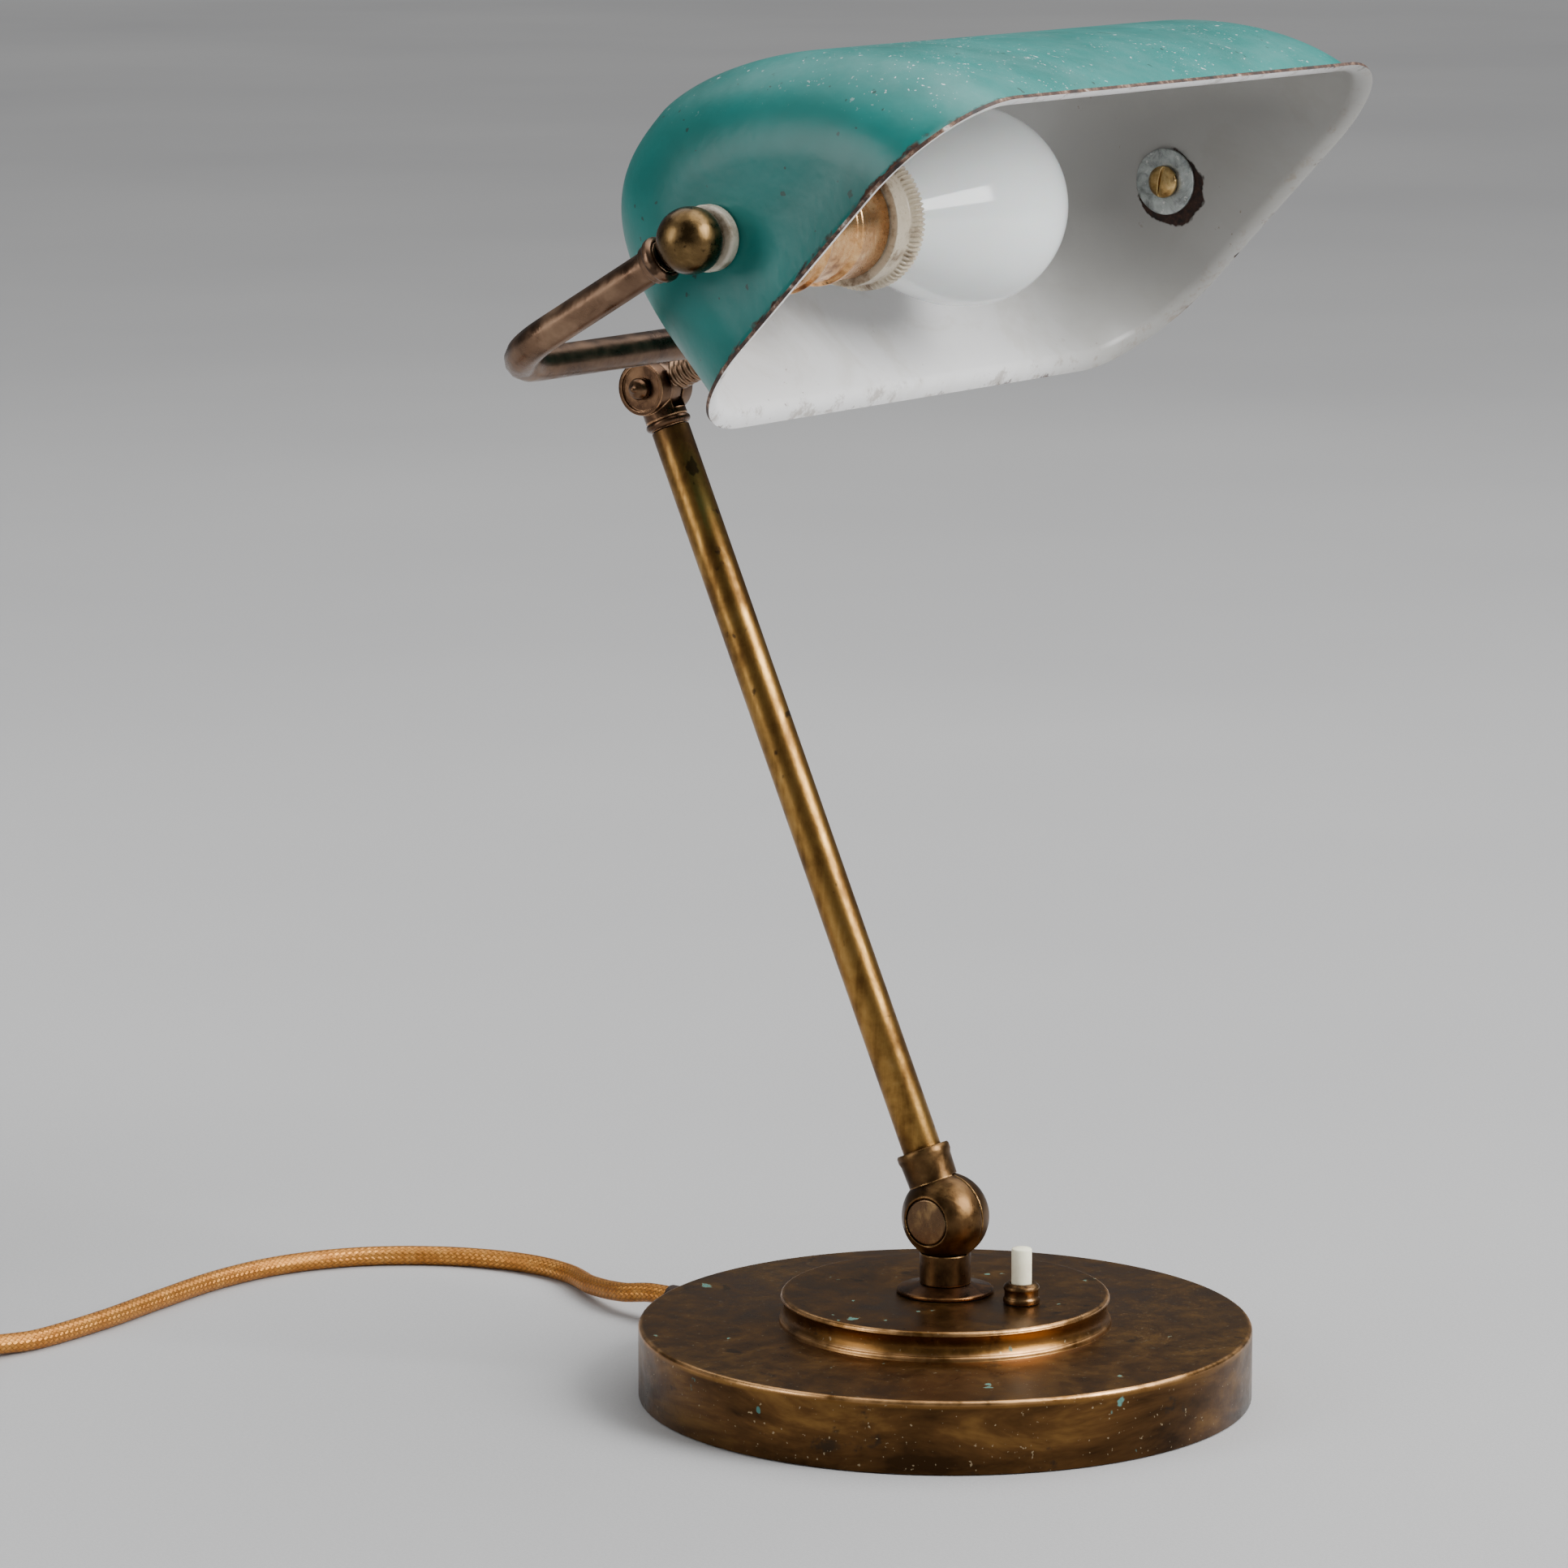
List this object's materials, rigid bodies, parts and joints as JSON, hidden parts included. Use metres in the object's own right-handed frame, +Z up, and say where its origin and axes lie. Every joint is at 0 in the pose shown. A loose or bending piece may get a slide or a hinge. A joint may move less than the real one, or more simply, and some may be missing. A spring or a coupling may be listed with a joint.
{
  "type": "banker desk lamp",
  "caption": "Banker desk lamp with a tilting enamelled trough shade on a yoke, a leaning arm with clamp knuckles, a heavy round base, a push-button switch and a fabric cord.",
  "frame": {"origin": "centre of the base's underside, on the table", "axes": "+Z up; +X along the hinge axes, from the lampholder's end of the shade to its plain end; the arm leans towards +Y and the shade's mouth faces -Y and down"},
  "size_m": [0.3645, 0.4868, 0.4092],
  "materials": {
    "bronze": "aged brown-bronze patina, worn bright at the edges",
    "brass_aged": "aged golden-brown brass with streaks",
    "brass_bright": "blotched yellow brass",
    "zinc": "scratched zinc-plated steel",
    "iron": "raw cast",
    "felt": "felt",
    "enamel": "glossy vitreous enamel on steel, sea green outside, white inside, rim chipped",
    "porcelain": "cream porcelain",
    "opal": "opal glass",
    "plastic": "dark brown",
    "ivory": "ivory",
    "insulation": "dull",
    "fabric": "gold woven braid"
  },
  "bodies": {
    "base": {"base_cover": "bronze", "base_weight": "iron", "base_plate": "zinc", "felt_pad": "felt", "stem_flange": "bronze", "stem_nipple": "zinc", "stem_washer": "zinc", "stem_nut": "zinc", "knuckle_rear_half": "bronze", "knuckle_cap_rear": "bronze", "knuckle_nut": "zinc", "knuckle_washer": "zinc", "switch_collar": "brass_bright", "switch_body": "plastic", "switch_nut": "zinc", "switch_spring": "zinc", "cord_gland": "plastic", "base_lead": "fabric", "cord_lead": "fabric", "cord_coil": "fabric", "cord_tail": "fabric", "cord_tie": "plastic", "plug_body": "plastic", "plug_pin_a": "brass_bright", "plug_pin_b": "brass_bright"},
    "arm": {"knuckle_front_half": "bronze", "knuckle_cap_front": "bronze", "knuckle_screw": "zinc", "arm_tube": "brass_aged", "arm_wire": "insulation", "arm_fork": "bronze", "upper_bolt": "brass_aged", "upper_nut": "brass_aged"},
    "yoke": {"yoke_stem": "brass_aged", "yoke_tube": "brass_aged", "yoke_wire": "insulation", "yoke_collar_left": "brass_aged", "yoke_collar_right": "brass_aged", "end_ball_left": "bronze", "end_ball_right": "bronze", "spacer_left": "porcelain", "spacer_right": "porcelain"},
    "shade_head": {"shade": "enamel", "pivot_washer_left": "zinc", "pivot_washer_right": "zinc", "pivot_screw": "brass_bright", "lampholder_nipple": "zinc", "lampholder_cap": "brass_bright", "lampholder_body": "brass_bright", "lampholder_ring": "porcelain", "socket_insulator": "porcelain", "socket_contact": "brass_bright", "socket_shell": "brass_bright", "lamp_cap": "zinc", "bulb": "opal"},
    "button": {"switch_button": "ivory"}
  },
  "joints": [
    {"name": "arm_tilt", "type": "hinge", "parent": "base", "child": "arm", "pos_m": [0, 0, 0.0548], "axis": [1, 0, 0], "range_deg": [-45, 50]},
    {"name": "head_tilt", "type": "hinge", "parent": "arm", "child": "yoke", "pos_m": [0, 0.10599, 0.29856], "axis": [1, 0, 0], "range_deg": [-60, 28]},
    {"name": "shade_tilt", "type": "hinge", "parent": "yoke", "child": "shade_head", "pos_m": [0, -0.00103, 0.35765], "axis": [1, 0, 0], "range_deg": [-50, 50]},
    {"name": "switch_press", "type": "slide", "parent": "base", "child": "button", "axis": [0, 0, -1], "range_m": [0, 0.0025], "stiffness_N_per_m": 400, "springref_m": -0.001, "deforming": ["switch_spring"]}
  ]
}
